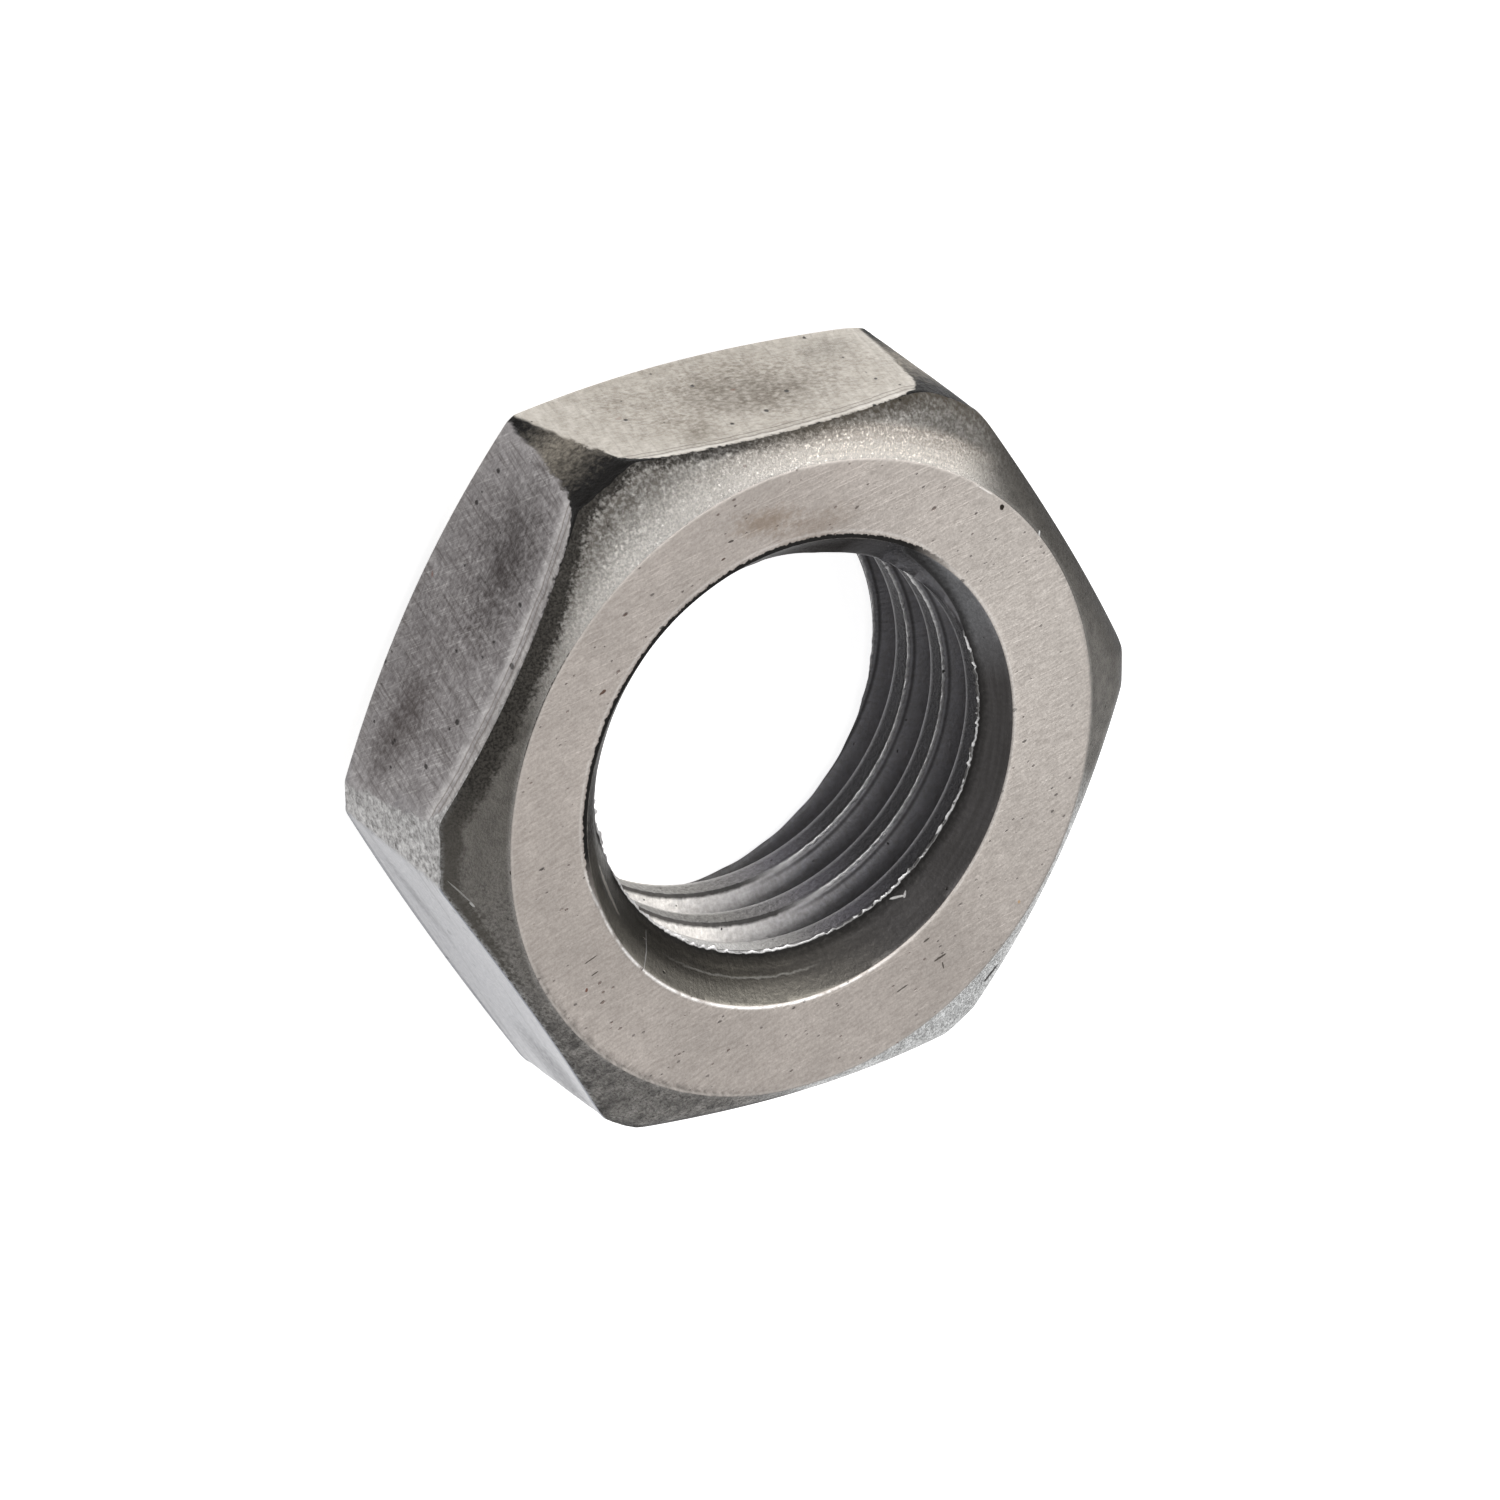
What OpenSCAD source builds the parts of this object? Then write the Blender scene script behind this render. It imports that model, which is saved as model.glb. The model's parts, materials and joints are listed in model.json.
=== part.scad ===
// Hexagonal jam nut: a thin nut with both faces chamfered, lying flat on one bearing face.
// Units are millimetres. The bore axis is Z and the lower bearing face is at z = 0.

/* [Hexagon] */
// Width across the flats, as made for a 27 mm spanner
across_flats = 26.4; // [24:0.1:32]
// Height from one bearing face to the other
height = 9; // [6:0.1:18]
// How far the bar's corners are rounded off, measured towards the axis
corner_trim = 0.3; // [0.06:0.02:1]

/* [Chamfers] */
// Distance from the flats in to the round edge of the bearing face
chamfer_inset = 0.8; // [0.2:0.05:2]
// Slope of the corner chamfers below the bearing face, in degrees
chamfer_angle = 30; // [15:1:40]

/* [Thread] */
// Nominal diameter, reached at the bottom of the groove
thread_d = 18; // [14:0.1:20]
// Distance from one turn to the next
pitch = 2.5; // [1:0.05:3]
// How much wider the tapped bore is than the basic minor diameter
crest_allowance = 0.45; // [0:0.01:0.6]
// Direction in which the groove reaches the upper face, in degrees
thread_start = 92; // [0:1:359]

/* [Countersinks] */
// How far each countersink's mouth reaches past the nominal diameter, all round
mouth_relief = 0.15; // [0.05:0.05:1.4]
// Included angle of the countersinks
countersink_angle = 90; // [80:1:120]

/* [Hidden] */
$fn = 96;

// Hexagon and chamfers
flat_r = across_flats / 2;
corner_r = flat_r / cos(30) - corner_trim;
bearing_r = flat_r - chamfer_inset;
chamfer_drop = (corner_r - bearing_r) * tan(chamfer_angle);

// Metric thread form: 60 degree flanks and a root one eighth of the pitch wide
flank_slope = tan(30);
root_r = thread_d / 2;
root_w = pitch / 8;
basic_minor_d = thread_d - 1.0825 * pitch;
crest_r = (basic_minor_d + crest_allowance) / 2;

// Countersinks
mouth_r = root_r + mouth_relief;
countersink_depth = (mouth_r - crest_r) / tan(countersink_angle / 2);

// The groove's cutter reaches a little inside the bore, and a turn past each face
cut_past = 0.06;
cut_r = crest_r - cut_past;
cut_w = root_w + 2 * (root_r - cut_r) * flank_slope;
steps_per_turn = 40;
cut_from = -pitch;
cut_to = height + pitch;
cut_turns = (cut_to - cut_from) / pitch;
cut_steps = ceil(cut_turns * steps_per_turn);

// Section of the groove, root outwards, as radius and height
groove = [
    [cut_r, -cut_w / 2],
    [root_r, -root_w / 2],
    [root_r, root_w / 2],
    [cut_r, cut_w / 2]
];

// Direction and height of the groove's middle at one step of the helix
function helix_angle(i) = thread_start + 360 * ((cut_from - height) / pitch + i / steps_per_turn);
function helix_z(i) = cut_from + i * pitch / steps_per_turn;
function groove_ring(i) = [
    for (p = groove)
        [p[0] * cos(helix_angle(i)), p[0] * sin(helix_angle(i)), helix_z(i) + p[1]]
];

// Outer form of revolution: the bearing faces, the two chamfer cones and the rounded corners
module turned_form() {
    rotate_extrude()
        polygon([
            [0, 0],
            [bearing_r, 0],
            [corner_r, chamfer_drop],
            [corner_r, height - chamfer_drop],
            [bearing_r, height],
            [0, height]
        ]);
}

// Blank: the hexagonal bar, with a flat facing +X, turned to the outer form
module blank() {
    intersection() {
        rotate([0, 0, 30])
            cylinder(h = height, r = flat_r / cos(30), $fn = 6);
        turned_form();
    }
}

// Tapping bore with a countersink at each face
module bore() {
    past = 1;
    flare = past * tan(countersink_angle / 2);
    translate([0, 0, -past])
        cylinder(h = height + 2 * past, r = crest_r);
    translate([0, 0, -past])
        cylinder(h = past + countersink_depth, r1 = mouth_r + flare, r2 = crest_r);
    translate([0, 0, height - countersink_depth])
        cylinder(h = past + countersink_depth, r1 = crest_r, r2 = mouth_r + flare);
}

// Right-hand helical groove, swept ring by ring along the helix
module thread_groove() {
    n = len(groove);
    points = [for (i = [0:cut_steps]) each groove_ring(i)];
    sides = [
        for (i = [0:cut_steps - 1], k = [0:n - 1])
            let (a = i * n + k, b = i * n + (k + 1) % n)
                each [[a, b, a + n], [b, b + n, a + n]]
    ];
    last = cut_steps * n;
    caps = [[0, 2, 1], [0, 3, 2], [last, last + 1, last + 2], [last, last + 2, last + 3]];
    polyhedron(points = points, faces = concat(sides, caps), convexity = 10);
}

// Jam nut, one piece of plain steel
module jam_nut() {
    color([0.66, 0.64, 0.61])
        difference() {
            blank();
            bore();
            thread_groove();
        }
}

jam_nut();
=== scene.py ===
import json
import math
import bpy
from mathutils import Matrix, Vector

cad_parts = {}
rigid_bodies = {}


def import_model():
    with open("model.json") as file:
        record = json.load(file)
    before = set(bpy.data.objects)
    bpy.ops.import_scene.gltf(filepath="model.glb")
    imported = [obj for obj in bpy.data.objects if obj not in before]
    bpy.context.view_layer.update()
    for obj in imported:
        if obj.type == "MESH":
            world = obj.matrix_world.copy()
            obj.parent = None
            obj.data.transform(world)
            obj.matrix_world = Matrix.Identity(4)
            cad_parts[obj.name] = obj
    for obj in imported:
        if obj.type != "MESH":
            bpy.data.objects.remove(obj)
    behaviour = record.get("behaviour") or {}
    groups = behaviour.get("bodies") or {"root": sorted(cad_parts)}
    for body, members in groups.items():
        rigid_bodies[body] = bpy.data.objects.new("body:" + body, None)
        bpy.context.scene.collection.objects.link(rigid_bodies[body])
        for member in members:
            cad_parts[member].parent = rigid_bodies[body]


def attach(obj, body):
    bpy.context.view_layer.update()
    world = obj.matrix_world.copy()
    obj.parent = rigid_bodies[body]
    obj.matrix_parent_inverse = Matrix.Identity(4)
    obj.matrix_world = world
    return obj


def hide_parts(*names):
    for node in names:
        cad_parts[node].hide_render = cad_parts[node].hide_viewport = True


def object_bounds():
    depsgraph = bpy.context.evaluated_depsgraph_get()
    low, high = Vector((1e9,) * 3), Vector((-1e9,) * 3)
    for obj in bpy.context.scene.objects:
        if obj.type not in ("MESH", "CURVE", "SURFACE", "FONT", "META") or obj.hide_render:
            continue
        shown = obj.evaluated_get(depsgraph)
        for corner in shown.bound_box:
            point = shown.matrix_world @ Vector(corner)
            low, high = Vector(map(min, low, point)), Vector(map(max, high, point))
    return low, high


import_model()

cad_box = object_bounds()

# Camera: a long lens close to the nut, looking down on the upper face from about fifty
# degrees, with the camera turned well over, so that the nut seems to stand on a corner.
MM = 0.001
view_centre = Vector((0.730, 0.119, 4.985)) * MM
view_distance = 272.592 * MM
view_azimuth = math.radians(-132.836)
view_elevation = math.radians(50.268)
view_roll = math.radians(-124.589)

towards_camera = Vector((
    math.cos(view_azimuth) * math.cos(view_elevation),
    math.sin(view_azimuth) * math.cos(view_elevation),
    math.sin(view_elevation),
))
level_right = Vector((0, 0, 1)).cross(towards_camera).normalized()
level_up = towards_camera.cross(level_right)
rolled_up = level_up * math.cos(view_roll) + level_right * math.sin(view_roll)
rolled_right = rolled_up.cross(towards_camera)

camera_data = bpy.data.cameras.new("product camera")
camera_data.sensor_width = 36
camera_data.lens = 178.735
camera_data.clip_start = 0.01
camera_data.clip_end = 10
camera = bpy.data.objects.new("product camera", camera_data)
camera.matrix_world = Matrix.LocRotScale(
    view_centre + towards_camera * view_distance,
    Matrix((rolled_right, rolled_up, towards_camera)).transposed().to_quaternion(),
    None,
)
scene_objects = bpy.context.scene.collection.objects
scene_objects.link(camera)
bpy.context.scene.camera = camera


# Jam nut: one piece of plain carbon steel, cut from rolled hexagonal bar with the mill skin
# left on its corners. Both faces are ground flat and chamfered, and the bore is drilled,
# countersunk from each side and tapped with a right-hand thread.
across_flats = (cad_box[1].x - cad_box[0].x) / MM
height = (cad_box[1].z - cad_box[0].z) / MM
columns_per_flat = 84
# How wide the mill skin's bevel is at each corner, at the upper face and at the lower one.
# The corners are counted from the one at -30 degrees.
upper_bevels = (1.5, 1.4, 1.6, 2.7, 2.6, 2.6)
lower_bevels = (0.7, 1.1, 1.0, 0.5, 0.4, 1.2)
# How ragged and how round the borders of each bevel are.
bevel_raggedness = (0.15, 0.12, 0.10, 0.04, 0.26, 0.24)
bevel_roundness = (0.40, 0.25, 0.50, 0.70, 0.08, 0.15)


class Amount:
    """A number that nodes work out at each point, so that a formula reads as on paper."""

    def __init__(self, socket):
        self.socket = socket

    def worked(self, operation, *others):
        tree = self.socket.id_data
        step = tree.nodes.new("ShaderNodeMath")
        step.operation = operation
        for entry, amount in zip(step.inputs, (self, *others)):
            if isinstance(amount, Amount):
                tree.links.new(amount.socket, entry)
            else:
                entry.default_value = amount
        return Amount(step.outputs[0])

    def __add__(self, other):
        return self.worked("ADD", other)

    __radd__ = __add__

    def __sub__(self, other):
        return self.worked("SUBTRACT", other)

    def __rsub__(self, other):
        return self.worked("MULTIPLY", -1).worked("ADD", other)

    def __mul__(self, other):
        return self.worked("MULTIPLY", other)

    __rmul__ = __mul__

    def __truediv__(self, other):
        return self.worked("DIVIDE", other)

    def __neg__(self):
        return self.worked("MULTIPLY", -1)

    def cosine(self):
        return self.worked("COSINE")

    def sine(self):
        return self.worked("SINE")

    def whole(self):
        return self.worked("FLOOR")

    def remainder(self, size):
        return self.worked("FLOORED_MODULO", size)

    def size(self):
        return self.worked("ABSOLUTE")

    def power(self, exponent):
        return self.worked("POWER", exponent)

    def root(self):
        return self.worked("SQRT")

    def at_least(self, low, blend=0.0):
        return self.worked("SMOOTH_MAX", low, blend) if blend else self.worked("MAXIMUM", low)

    def at_most(self, high, blend=0.0):
        return self.worked("SMOOTH_MIN", high, blend) if blend else self.worked("MINIMUM", high)

    def share(self, low, high):
        """0 up to low, 1 from high on, and even between them."""
        ramp = self.socket.id_data.nodes.new("ShaderNodeMapRange")
        ramp.inputs["From Min"].default_value = low
        ramp.inputs["From Max"].default_value = high
        self.socket.id_data.links.new(self.socket, ramp.inputs["Value"])
        return Amount(ramp.outputs["Result"])

    def near(self, centre, reach):
        """1 at the centre, fading evenly to 0 at a reach to either side of it."""
        return 1 - ((self - centre).size() / reach).at_most(1)

    def between(self, start, end):
        """Goes from start to end as this number goes from 0 to 1."""
        return (end - start) * self + start


def point_at(across, along, up):
    """A vector made of three amounts."""
    tree = next(a.socket.id_data for a in (across, along, up) if isinstance(a, Amount))
    joined = tree.nodes.new("ShaderNodeCombineXYZ")
    for entry, amount in zip(joined.inputs, (across, along, up)):
        if isinstance(amount, Amount):
            tree.links.new(amount.socket, entry)
        else:
            entry.default_value = amount
    return joined.outputs[0]


nut_tree = bpy.data.node_groups.new("nut form", "GeometryNodeTree")
nut_tree.is_modifier = True
nut_tree.interface.new_socket("Geometry", in_out="OUTPUT", socket_type="NodeSocketGeometry")
nut_sizes = {
    "Across flats": across_flats,
    "Height": height,
    "Bearing face radius": 12.4,
    "Chamfer slope": math.tan(math.radians(27)),
    "Edge wear width": 0.6,
    "Edge wear depth": 0.16,
    "Thread root radius": 9.0,
    "Thread crest radius": 7.872,
    "Thread pitch": 2.5,
    "Thread start": 92.0,
    "Countersink radius": 9.15,
    "Seed": 7.0,
}
size_inputs = {}
for size_name, size_value in nut_sizes.items():
    size_inputs[size_name] = nut_tree.interface.new_socket(
        size_name, in_out="INPUT", socket_type="NodeSocketFloat")
    size_inputs[size_name].default_value = size_value
size_source = nut_tree.nodes.new("NodeGroupInput")
given = {name: Amount(size_source.outputs[name]) for name in nut_sizes}


def node_in(tree, kind, **entries):
    """A new node in a tree, its settings made (small letters) and its inputs linked or filled in."""
    node = tree.nodes.new(kind)
    for name, value in entries.items():
        if name[0].islower():
            setattr(node, name, value)
            continue
        entry = node.inputs[name.replace("_", " ")]
        if isinstance(value, Amount):
            tree.links.new(value.socket, entry)
        elif isinstance(value, bpy.types.NodeSocket):
            tree.links.new(value, entry)
        else:
            entry.default_value = value
    return node


# Every strip of the surface starts as a flat sheet, one unit square: across it runs the
# angle round the bore, along it the way from the strip's first edge to its last.
sheet_point = node_in(nut_tree, "GeometryNodeInputPosition").outputs[0]
sheet_place = node_in(nut_tree, "ShaderNodeSeparateXYZ", Vector=sheet_point)
round_nut = Amount(sheet_place.outputs["X"]) + 0.5
along = Amount(sheet_place.outputs["Y"]) + 0.5

# Angle round the bore, with the columns crowded towards the six corners
corner_crowding = 0.6
flat_count = round_nut * 6
flat_number = flat_count.whole()
part_of_flat = flat_count - flat_number
crowding = (part_of_flat * math.tau).sine() * (corner_crowding / math.pi)
from_flat_middle = (part_of_flat * 2 - 1 - crowding) * 30
angle_degrees = flat_number * 60 + from_flat_middle
corner_number = (flat_count + 0.5).whole()
from_corner = angle_degrees + 30 - corner_number * 60
angle = angle_degrees * math.radians(1)
angle_cosine = angle.cosine()
angle_sine = angle.sine()


# The countersink's mouth is a little narrower towards one side of the upper face
mouth_narrowing = 0.17
towards_narrow = (angle - math.radians(125)).cosine().at_least(0)
upper_mouth = given["Countersink radius"] - towards_narrow * mouth_narrowing


def by_corner(widths):
    """The width that belongs to the nearest corner."""
    switch = nut_tree.nodes.new("GeometryNodeIndexSwitch")
    switch.data_type = "FLOAT"
    while len(switch.index_switch_items) < 6:
        switch.index_switch_items.new()
    nut_tree.links.new(corner_number.remainder(6).socket, switch.inputs["Index"])
    for corner, width in enumerate(widths):
        switch.inputs[str(corner)].default_value = width
    return Amount(switch.outputs[0])


def clouds(place, scale, detail=3.0, seed=0.0, roughness=0.5):
    """Soft noise from 0 to 1 at a place, always the same for the same seed."""
    noise = node_in(place.id_data, "ShaderNodeTexNoise", noise_dimensions="4D", Vector=place,
                    Scale=scale, Detail=detail, W=seed, Roughness=roughness)
    return Amount(noise.outputs[0])


# Outside wall: six rolled flats that meet in bevels of rough mill skin
rolled_lip = 0.03
flat_distance = given["Across flats"] / 2 - rolled_lip
sharp_corner = flat_distance / math.cos(math.radians(30))
to_flat_cosine = (from_flat_middle * math.radians(1)).cosine()
to_corner_cosine = (from_corner * math.radians(1)).cosine()
flat_wall = flat_distance / to_flat_cosine


def wall_radius(way_down):
    """Distance from the bore axis to the wall, from 0 at its upper edge to 1 at its lower."""
    narrowing = way_down.at_least(0).power(0.75)
    bevel_width = narrowing.between(by_corner(upper_bevels), by_corner(lower_bevels))
    skin_place = point_at(angle_cosine * 15, angle_sine * 15, way_down * -9)
    raggedness = (clouds(skin_place, 1.7, 3.0, given["Seed"]) - 0.5) * by_corner(bevel_raggedness)
    bevel_distance = sharp_corner - bevel_width * (math.tan(math.radians(30)) / 2) + raggedness
    bevel_wall = bevel_distance / to_corner_cosine
    wall = flat_wall.at_most(bevel_wall, by_corner(bevel_roundness))
    return wall, bevel_distance, flat_wall - bevel_wall


mouth_wear = 0.03
mouth_wear_width = 0.1


def end_height(across, deep, bevel_distance, centre, mouth):
    """Height of one end's surface over a point, and how far it lies from circle and edge."""
    radius = (across * across + deep * deep).root()
    off_x = across - centre[0]
    off_y = deep - centre[1]
    past_circle = (off_x * off_x + off_y * off_y).root() - given["Bearing face radius"]
    to_bevel = bevel_distance - radius * to_corner_cosine
    to_edge = (flat_distance - radius * to_flat_cosine).at_most(to_bevel)
    to_mouth = radius - mouth
    worn = (1 - to_edge / given["Edge wear width"]).at_least(0)
    mouth_worn = (1 - to_mouth / mouth_wear_width).at_least(0)
    drop = (past_circle.at_least(0, 0.05) * given["Chamfer slope"]
            + worn * worn * given["Edge wear depth"] + mouth_worn * mouth_worn * mouth_wear)
    return drop, past_circle, to_edge


# Bore: the tapping drill's wall with one helical groove and a countersink at each end. The
# tap was fed in a little off the middle, and the metal it pushed up closed the first turn on
# the upper side, so a smooth band runs there from the mouth down to a lip that climbs with
# the thread.
crest_radius = given["Thread crest radius"]
root_radius = given["Thread root radius"]
pitch = given["Thread pitch"]
countersink_depth = given["Countersink radius"] - crest_radius
groove_half_root = pitch / 16
flank_slope = math.tan(math.radians(30))
groove_half_width = groove_half_root + (root_radius - crest_radius) * flank_slope
groove_height = given["Height"] + pitch * (angle_degrees - given["Thread start"]) / 360
tap_offset = (-0.15, 0.17)
tap_lean = (-0.043, 0.029)
lower_flare = 2.2
middle_of_lean = 7.5
near_side_steepness = 0.76
land_roughness = 0.06
turned = (angle_degrees + 152).remainder(360) - 152
closed_turn = turned.share(-105, -65) * (1 - turned.share(112, 152))
lip_height = given["Height"] + pitch * (turned - given["Thread start"]) / 360 - groove_half_width
mouth_height = given["Height"] - mouth_wear


def bore_surface(up):
    """Place of the bore's skin at a height, with its shares of burr, of land and of band."""
    turns_up = (up - groove_height) / pitch
    from_groove = ((turns_up + 0.5).remainder(1) - 0.5) * pitch
    groove = root_radius - (from_groove.size() - groove_half_root).at_least(0) / flank_slope
    groove_depth = groove - crest_radius
    across_band = (up - lip_height) / (mouth_height - lip_height)
    in_band = closed_turn * across_band.share(0.0, 0.01)
    thread = crest_radius + groove_depth.at_least(0, 0.02) * (1 - in_band)
    near_side = (angle - math.radians(226)).cosine().share(0.6, 0.85)
    plain_cone = upper_mouth - (mouth_height - up) * near_side.between(1, near_side_steepness)
    band = across_band.between(crest_radius, upper_mouth)
    upper_cone = closed_turn.between(plain_cone, band)
    cone = upper_cone.at_least(given["Countersink radius"] - (up - mouth_wear) * lower_flare)
    metal_place = point_at(angle_cosine * 8, angle_sine * 8, up)
    torn = clouds(metal_place, 4.5, 3.0, given["Seed"] + 3)
    from_edge = from_groove + groove_half_width
    is_open = (1 - (cone - thread).share(0.0, 0.12)) * (1 - (up - mouth_height + 0.3).share(0.0, 0.2))
    front_edge = from_edge.near(0, 0.09) * is_open
    at_lip = (up - lip_height).size().share(0.1, 0.2)
    smooth_side = 1 - angle_sine.share(-0.5, 0.2) * 0.8
    burr = front_edge * (torn - 0.38).at_least(0) * at_lip.between(0.62, smooth_side.between(0.25, 0.05))
    land = (-groove_depth).share(0.0, 0.05) * (crest_radius - cone).share(0.0, 0.05)
    rough_land = land * (clouds(metal_place, 5.0, 3.0, given["Seed"] + 5) - 0.5) * land_roughness
    radius = thread.at_least(cone, 0.02) - burr + rough_land
    off_middle = ((mouth_height - up) / 0.5).at_most((up - mouth_wear) / 0.5).share(0.0, 1.0)
    below_lip = middle_of_lean - up
    return (
        radius * angle_cosine + off_middle * (below_lip * tap_lean[0] + tap_offset[0]),
        radius * angle_sine + off_middle * (below_lip * tap_lean[1] + tap_offset[1]),
        {
            "burr": from_edge.near(0, 0.2) * is_open,
            "land": land,
            "band": in_band * across_band.share(0.0, 1.0),
        },
    )


def strip(rows, across, deep, up, material_name, marks):
    """One band of the surface, wrapped to its place, with its marks kept for the material."""
    sheet = node_in(nut_tree, "GeometryNodeMeshGrid", Size_X=1.0, Size_Y=1.0,
                    Vertices_X=columns_per_flat * 6 + 1, Vertices_Y=rows + 1).outputs["Mesh"]
    for mark_name, mark in marks.items():
        sheet = node_in(nut_tree, "GeometryNodeStoreNamedAttribute", Geometry=sheet,
                        Name=mark_name, Value=mark).outputs[0]
    placed = node_in(nut_tree, "GeometryNodeSetPosition", Geometry=sheet,
                     Position=point_at(across * MM, deep * MM, up * MM)).outputs[0]
    return node_in(nut_tree, "GeometryNodeSetMaterial", Geometry=placed,
                   Material=bpy.data.materials[material_name]).outputs[0]


for material_name in ("ground face", "chamfer", "rolled bar", "tapped bore"):
    bpy.data.materials.new(material_name).use_nodes = True

zero = round_nut * 0
strips = []
edge_heights = []
for is_upper in (True, False):
    circle_centre = (0.38, 0.08) if is_upper else (-0.12, 0.2)
    edge_radius, bevel_distance, _ = wall_radius(zero if is_upper else zero + 1)
    edge_x, edge_y = edge_radius * angle_cosine, edge_radius * angle_sine
    circle_x = given["Bearing face radius"] * angle_cosine + circle_centre[0]
    circle_y = given["Bearing face radius"] * angle_sine + circle_centre[1]
    mouth = upper_mouth if is_upper else given["Countersink radius"]
    outward = along if is_upper else 1 - along

    # Ground bearing face, from the countersink's mouth to the round edge of the chamfer
    face_way = outward - (outward * math.tau).sine() * (0.75 / math.tau)
    face_x = face_way.between(mouth * angle_cosine, circle_x)
    face_y = face_way.between(mouth * angle_sine, circle_y)
    drop, past_circle, _ = end_height(face_x, face_y, bevel_distance, circle_centre, mouth)
    face_up = given["Height"] - drop if is_upper else drop
    to_mouth = (face_x * face_x + face_y * face_y).root() - mouth
    strips.append(strip(10, face_x, face_y, face_up, "ground face",
                        {"past_circle": past_circle, "to_mouth": to_mouth}))

    # Chamfer, from that edge to the hexagon
    chamfer_way = 1 - (1 - outward).at_least(0).power(1.6)
    chamfer_x = chamfer_way.between(circle_x, edge_x)
    chamfer_y = chamfer_way.between(circle_y, edge_y)
    drop, past_circle, to_edge = end_height(chamfer_x, chamfer_y, bevel_distance, circle_centre, mouth)
    chamfer_up = given["Height"] - drop if is_upper else drop
    strips.append(strip(18, chamfer_x, chamfer_y, chamfer_up, "chamfer",
                        {"past_circle": past_circle, "to_edge": to_edge}))
    edge_heights.append(end_height(edge_x, edge_y, bevel_distance, circle_centre, mouth)[0])

# Lower countersink, from the mouth to the drilled wall
cone_end = countersink_depth / lower_flare + mouth_wear
cone_up = along.between(mouth_wear, cone_end)
bore_x, bore_y, bore_marks = bore_surface(cone_up)
strips.append(strip(16, bore_x, bore_y, cone_up, "tapped bore", bore_marks))

# Hexagon wall, with the lip that the chamfering tool rolled over the flats' edges
wall_way = along - (along * math.tau).sine() * (0.85 / math.tau)
wall_distance, _, bevel_share = wall_radius(wall_way)
upper_edge_drop, lower_edge_rise = edge_heights
wall_top = given["Height"] - upper_edge_drop
wall_up = wall_way.between(wall_top, lower_edge_rise)
below_edge = (wall_top - wall_up).at_most(wall_up - lower_edge_rise)
lip_groove_depth = 0.02
lip_rise = below_edge.share(0.0, 0.1) * (1 - below_edge.share(0.16, 0.3)) * rolled_lip
lip_groove = below_edge.share(0.22, 0.32) * (1 - below_edge.share(0.34, 0.46)) * lip_groove_depth
wall_distance = wall_distance + (lip_rise - lip_groove) * (1 - bevel_share.share(0.0, 0.05))
wall_marks = {"bevel": bevel_share.share(0.0, 0.05), "to_bevel": bevel_share * -1.8,
              "to_edge": below_edge}
strips.append(strip(26, wall_distance * angle_cosine, wall_distance * angle_sine, wall_up,
                    "rolled bar", wall_marks))

# Thread from the lower countersink up to the mouth, its rows laid along the helix
rows_per_turn = (
    (1, 0.156), (4, 0.652), (4, 0.805), (1, 0.08), (1, 0.06), (4, 0.591), (1, 0.156),
)
turn_rows = sum(rows for rows, rise in rows_per_turn)
helix_turns = 6
row_number = along * (helix_turns * turn_rows)
row_turn = (row_number / turn_rows + 1e-5).whole()
row_left = row_number - row_turn * turn_rows
row_rise = zero
first_row = 0
for rows, rise in rows_per_turn:
    row_rise = row_rise + row_left.share(first_row, first_row + rows) * rise
    first_row += rows
helix_up = groove_height + pitch * (row_turn - helix_turns + 1) + row_rise
thread_up = helix_up.at_least(cone_end).at_most(mouth_height)
bore_x, bore_y, bore_marks = bore_surface(thread_up)
strips.append(strip(helix_turns * turn_rows, bore_x, bore_y, thread_up, "tapped bore", bore_marks))

# The strips are welded into one closed skin, its creases are kept sharp, and it is finished
weld_distance = 1.5e-6
crease_angle = math.radians(32)
joined = nut_tree.nodes.new("GeometryNodeJoinGeometry")
for one_strip in strips:
    nut_tree.links.new(one_strip, joined.inputs[0])
welded = node_in(nut_tree, "GeometryNodeMergeByDistance", Geometry=joined.outputs[0],
                 Distance=weld_distance)
outward_faces = node_in(nut_tree, "GeometryNodeFlipFaces", Mesh=welded.outputs[0])
edge_angle = nut_tree.nodes.new("GeometryNodeInputMeshEdgeAngle").outputs["Unsigned Angle"]
is_crease = node_in(nut_tree, "FunctionNodeCompare", operation="GREATER_THAN",
                    A=edge_angle, B=crease_angle)
smoothed = node_in(nut_tree, "GeometryNodeSetShadeSmooth", Geometry=outward_faces.outputs[0],
                   Shade_Smooth=True)
creased = node_in(nut_tree, "GeometryNodeSetShadeSmooth", domain="EDGE", Geometry=smoothed.outputs[0],
                  Selection=is_crease.outputs[0], Shade_Smooth=False)
realized = node_in(nut_tree, "GeometryNodeRealizeInstances", Geometry=creased.outputs[0])
tree_output = nut_tree.nodes.new("NodeGroupOutput")
nut_tree.links.new(realized.outputs[0], tree_output.inputs["Geometry"])

carrier = bpy.data.objects.new("nut_form", bpy.data.meshes.new("nut_form"))
scene_objects.link(carrier)
former = carrier.modifiers.new("nut form", "NODES")
former.node_group = nut_tree
for size_name, entry in size_inputs.items():
    former[entry.identifier] = nut_sizes[size_name]
evaluated = carrier.evaluated_get(bpy.context.evaluated_depsgraph_get())
nut_mesh = bpy.data.meshes.new_from_object(evaluated)
bpy.data.objects.remove(carrier)
nut_mesh.materials.pop(index=0)
nut = bpy.data.objects.new("dressed_nut", nut_mesh)
scene_objects.link(nut)


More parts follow.
